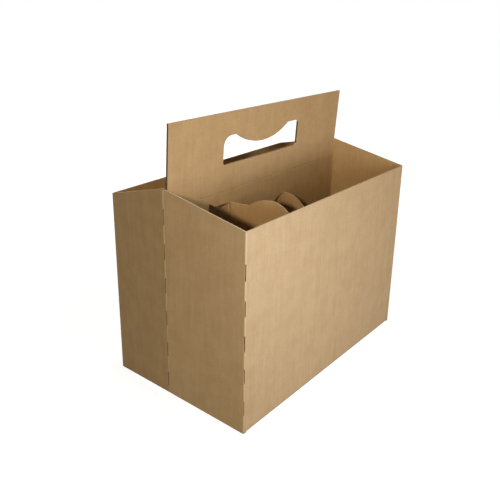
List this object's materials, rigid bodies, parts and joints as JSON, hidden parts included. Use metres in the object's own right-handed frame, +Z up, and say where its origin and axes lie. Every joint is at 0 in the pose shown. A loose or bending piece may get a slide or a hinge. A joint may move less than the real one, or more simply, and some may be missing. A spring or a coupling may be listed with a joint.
{
  "type": "six-pack carrier",
  "caption": "Basket-style bottle carrier folded from one sheet of kraft board, open-topped, with a double centre wall, struck dividers and a hand hole.",
  "frame": {"origin": "on the ground, in the middle of the carrier's outline", "axes": "+X along the long walls, away from the perforated end crease; the front wall faces -Y; +Z up"},
  "size_m": [0.2265, 0.1288, 0.2105],
  "materials": {
    "kraft_board": "plain brown kraft liner, matte, with faint upright flute lines and pale cut edges"
  },
  "bodies": {
    "root": {"carrier": "kraft_board"}
  },
  "joints": []
}
